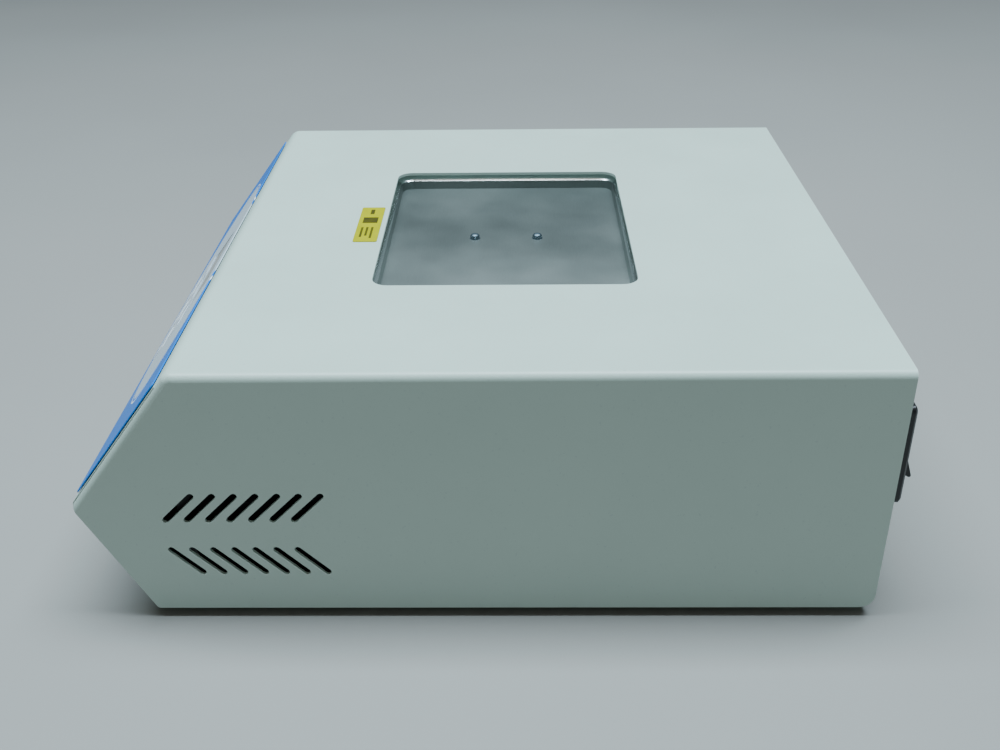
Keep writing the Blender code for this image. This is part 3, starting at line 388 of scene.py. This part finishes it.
def moulded(name, grain=PLASTIC_GRAIN, depth=PLASTIC_DEPTH):
    """Moulded plastic, rubber or foam: fine grain, and paler where the edges are rubbed."""
    low, high, rough_low, rough_high = MOULDED[name]
    shader = Shader(name)
    cloud = shader.noise(40.0, detail=3.0)
    fine = shader.noise(grain)
    base = shader.mix(cloud, srgb(*low), srgb(*high))
    paler_share = shader.times(shader.edges(0.0004), shader.spread(cloud, 0.1, 0.45))
    pale = tuple(min(255, channel + WORN_PALER) for channel in high)
    shader.colour(shader.mix(paler_share, base, srgb(*pale)))
    shader.roughness(shader.spread(cloud, rough_low, rough_high))
    shader.bump(fine, depth=depth, strength=0.5)
    return shader.material


def circuit_board():
    """Green solder mask over faint copper tracks."""
    shader = Shader("circuit_board")
    tracks = shader.cells(260.0)
    fine = shader.noise(2200.0, detail=2.0)
    base = shader.mix(shader.remap(tracks, 0.35, 0.55), srgb(12, 74, 40), srgb(24, 104, 58))
    shader.colour(shader.mix(shader.remap(fine, 0.6, 0.8, 0.0, 0.3), base, srgb(60, 130, 88)))
    shader.roughness(shader.remap(fine, 0.2, 0.8, 0.28, 0.45))
    return shader.bump(tracks, depth=0.00003, strength=0.4).material


def printed_panel():
    """Front film: blue, with a silver oval behind the display and keys, and caption bars."""
    shader = Shader("printed_panel")
    across, height = shader.slope_place()
    wide = shader.math("DIVIDE", across, OVAL_HALF_WIDTH)
    tall = shader.math("DIVIDE", shader.minus(height, OVAL_MIDDLE), OVAL_HALF_HEIGHT)
    oval = shader.math("ADD", shader.times(wide, wide), shader.times(tall, tall))
    silver = shader.remap(oval, 1.0, 0.985)
    rim = shader.times(shader.remap(oval, 1.075, 1.06), shader.remap(oval, 1.03, 1.045))
    film = shader.noise(FILM_GRAIN)
    tone = shader.noise(22.0, detail=3.0)
    blue = shader.mix(tone, srgb(12, 104, 190), srgb(20, 120, 206))
    metal = shader.mix(tone, srgb(176, 188, 196), srgb(194, 204, 210))
    base = shader.mix(rim, shader.mix(silver, blue, metal), srgb(232, 240, 244))
    column = shader.repeat(across, KEY_MIDDLE_X, KEY_PITCH)
    near_keys = shader.within(shader.minus(across, KEY_MIDDLE_X), KEYS_IN_ROW / 2 * KEY_PITCH)
    in_line = shader.within(shader.minus(height, CAPTION_MIDDLE), CAPTION_HALF_HEIGHT)
    caption = shader.times(shader.within(column, CAPTION_HALF_WIDTH), in_line)
    base = shader.mix(shader.times(caption, near_keys), base, srgb(24, 70, 128))
    shader.colour(base)
    shader.roughness(shader.spread(tone, 0.4, 0.5))
    return shader.set(Specular_IOR_Level=0.2).bump(film, depth=FINE_DEPTH, strength=0.3).material


def key_face():
    """Pale key film with a printed triangle: up on the upper row, down on the lower."""
    shader = Shader("key_face")
    tone = shader.noise(60.0, detail=3.0)
    film = shader.noise(FILM_GRAIN)
    base = shader.mix(tone, srgb(216, 222, 225), srgb(230, 235, 237))
    base = shader.mix(shader.edges(0.0006), base, srgb(150, 170, 190))
    shader.colour(shader.mix(shader.key_triangle(), base, srgb(28, 84, 150)))
    shader.roughness(shader.spread(tone, 0.28, 0.4))
    return shader.bump(film, depth=FINE_DEPTH, strength=0.3).material


def smoked_window():
    """Smoked display window, with faint wiping haze."""
    shader = Shader("smoked_window")
    haze = shader.noise(90.0, detail=4.0)
    shader.colour(shader.mix(haze, srgb(34, 40, 46), srgb(48, 55, 62)))
    shader.roughness(shader.spread(haze, 0.05, 0.13))
    return shader.set(Transmission_Weight=0.75, IOR=1.49).material


def display_glass():
    """Unlit reflective display: grey-green glass, faintly clouded."""
    shader = Shader("display_glass")
    cloud = shader.noise(50.0, detail=2.0)
    shader.colour(shader.mix(cloud, srgb(96, 106, 88), srgb(112, 122, 102)))
    shader.roughness(shader.spread(cloud, 0.12, 0.2))
    return shader.bump(shader.noise(PLASTIC_GRAIN), depth=0.00001, strength=0.3).material


def sticker():
    """Yellow vinyl label with plain dark bars in place of its print."""
    shader = Shader("yellow_label")
    low, high = CAD["top_sticker"]
    middle = (low + high) / 2
    x = shader.minus(shader.along((1.0, 0.0, 0.0)), middle.x)
    y = shader.minus(shader.along((0.0, 1.0, 0.0)), middle.y)
    tone = shader.noise(160.0, detail=3.0)
    base = shader.mix(tone, srgb(164, 160, 0), srgb(180, 175, 0))
    bars = None
    for centre_x, centre_y, half_x, half_y in STICKER_BARS:
        in_x = shader.within(shader.minus(x, centre_x), half_x)
        in_y = shader.within(shader.minus(y, centre_y), half_y)
        bar = shader.times(in_x, in_y)
        bars = bar if bars is None else shader.math("MAXIMUM", bars, bar)
    faded = shader.times(bars, shader.remap(tone, 0.2, 0.8, 0.75, 0.95))
    shader.colour(shader.mix(faded, base, srgb(38, 36, 24)))
    shader.roughness(shader.spread(tone, 0.42, 0.52))
    grain = shader.noise(900.0)
    shader.set(Specular_IOR_Level=0.25)
    return shader.bump(grain, depth=FINE_DEPTH, strength=0.3).material


def rocker_face():
    """Black rocker with a pale bar on its upper half and a pale ring on its lower half."""
    shader = Shader("rocker_face")
    to_local = frame["nodes"]["power_rocker"].matrix_world.inverted()
    centre = to_local @ Vector(ROCKER_CENTRE)
    x = shader.minus(shader.along((1.0, 0.0, 0.0)), centre.x)
    z = shader.minus(shader.along((0.0, 0.0, 1.0)), centre.z)
    in_height = shader.within(shader.minus(z, ROCKER_BAR_Z), ROCKER_BAR_HALF_HEIGHT)
    bar = shader.times(shader.within(x, ROCKER_BAR_HALF_WIDTH), in_height)
    apart = shader.distance(x, shader.minus(z, ROCKER_RING_Z))
    ring = shader.within(shader.minus(apart, ROCKER_RING_RADIUS), ROCKER_RING_HALF_LINE)
    cloud = shader.noise(40.0, detail=3.0)
    base = shader.mix(cloud, srgb(14, 14, 15), srgb(21, 21, 22))
    shader.colour(shader.mix(shader.math("MAXIMUM", bar, ring), base, srgb(214, 216, 216)))
    shader.roughness(shader.spread(cloud, 0.22, 0.34))
    return shader.bump(shader.noise(PLASTIC_GRAIN), depth=0.00003, strength=0.4).material


def looks():
    """The material of each slot named in the record."""
    return {
        "light_powder_coat": powder_coat(),
        "galvanised_sheet": zinc_sheet(),
        "bright_steel": turned_steel(),
        "brushed_aluminium": plain_aluminium(),
        "black_plastic": moulded("black_plastic"),
        "circuit_board": circuit_board(),
        "black_rubber": moulded("black_rubber", RUBBER_GRAIN),
        "blue_film": printed_panel(),
        "smoked_window": smoked_window(),
        "lcd_glass": display_glass(),
        "key_film": key_face(),
        "drawer_plastic": moulded("drawer_plastic"),
        "fuse_caps": turned_steel(),
        "switch_plastic": rocker_face(),
        "orange_silicone": moulded("orange_silicone"),
        "pale_foam": moulded("pale_foam", FOAM_GRAIN, FOAM_DEPTH),
        "white_nylon": moulded("white_nylon"),
        "motor_paint": moulded("motor_paint"),
        "fan_plastic": moulded("fan_plastic"),
        "transformer_tape": moulded("transformer_tape"),
        "brown_insulation": moulded("brown_insulation"),
        "red_insulation": moulded("red_insulation"),
        "yellow_vinyl": sticker(),
    }


LOOKS = looks()
for entry in frame["record"]["subparts"]:
    node = frame["nodes"][entry["node"]]
    for slot in node.material_slots:
        slot.material = LOOKS[entry["material_slot"]]

# The tray has a look of its own, apart from the rest of the brushed aluminium
tray_look = brushed_tray()
for slot in frame["nodes"]["heated_tray"].material_slots:
    slot.material = tray_look


def smoothing_group():
    """Shades smooth except across edges that turn by more than a fixed angle."""
    group = bpy.data.node_groups.new("smooth_by_angle", "GeometryNodeTree")
    group.interface.new_socket("Geometry", in_out="INPUT", socket_type="NodeSocketGeometry")
    group.interface.new_socket("Geometry", in_out="OUTPUT", socket_type="NodeSocketGeometry")
    start = group.nodes.new("NodeGroupInput")
    end = group.nodes.new("NodeGroupOutput")
    weld = group.nodes.new("GeometryNodeMergeByDistance")
    weld.inputs["Distance"].default_value = WELD_DISTANCE
    angle = group.nodes.new("GeometryNodeInputMeshEdgeAngle")
    soft = group.nodes.new("FunctionNodeCompare")
    soft.operation = "LESS_THAN"
    soft.inputs[1].default_value = SMOOTH_ANGLE
    faces = group.nodes.new("GeometryNodeSetShadeSmooth")
    edges = group.nodes.new("GeometryNodeSetShadeSmooth")
    edges.domain = "EDGE"
    link = group.links.new
    link(start.outputs[0], weld.inputs["Geometry"])
    link(weld.outputs[0], faces.inputs["Geometry"])
    link(faces.outputs[0], edges.inputs["Geometry"])
    link(angle.outputs["Unsigned Angle"], soft.inputs[0])
    link(soft.outputs[0], edges.inputs["Shade Smooth"])
    link(edges.outputs[0], end.inputs[0])
    return group


SMOOTHING = smoothing_group()


def add_smoothing(piece):
    smooth = piece.modifiers.new("smooth_by_angle", "NODES")
    smooth.node_group = SMOOTHING
    weighted = piece.modifiers.new("face_weights", "WEIGHTED_NORMAL")
    weighted.keep_sharp = True
    weighted.weight = FACE_WEIGHT


for piece in frame["nodes"].values():
    add_smoothing(piece)


def make_floor():
    mesh = bpy.data.meshes.new("floor")
    half = FLOOR_HALF
    corners = [(-half, -half, 0), (half, -half, 0), (half, half, 0), (-half, half, 0)]
    mesh.from_pydata(corners, [], [(0, 1, 2, 3)])
    floor = bpy.data.objects.new("floor", mesh)
    bpy.context.scene.collection.objects.link(floor)
    shader = Shader("pale_floor")
    tone = shader.noise(3.0, detail=3.0)
    shader.colour(shader.mix(tone, srgb(149, 148, 144), srgb(156, 155, 151)))
    shader.roughness(shader.spread(tone, 0.55, 0.65))
    mesh.materials.append(shader.material)


def add_light(name, place, width, depth, power, colour):
    data = bpy.data.lights.new(name, "AREA")
    data.shape = "RECTANGLE"
    data.size = width
    data.size_y = depth
    data.energy = power
    data.color = colour
    light = bpy.data.objects.new(name, data)
    light.location = place
    facing = Vector(LIGHT_TARGET) - Vector(place)
    light.rotation_euler = facing.to_track_quat("-Z", "Y").to_euler()
    bpy.context.scene.collection.objects.link(light)


def make_studio():
    world = bpy.data.worlds.new("studio")
    world.use_nodes = True
    background = world.node_tree.nodes["Background"]
    background.inputs["Color"].default_value = WORLD_COLOUR
    background.inputs["Strength"].default_value = WORLD_STRENGTH
    bpy.context.scene.world = world
    for light in LIGHTS:
        add_light(*light)


def make_camera():
    data = bpy.data.cameras.new("camera")
    data.lens = CAMERA_LENS
    data.sensor_width = CAMERA_SENSOR
    data.clip_start = CAMERA_NEAR
    camera = bpy.data.objects.new("camera", data)
    camera.location = CAMERA_PLACE
    camera.rotation_euler = Euler([math.radians(angle) for angle in CAMERA_TURN])
    bpy.context.scene.collection.objects.link(camera)
    bpy.context.scene.camera = camera


make_floor()
make_studio()
make_camera()
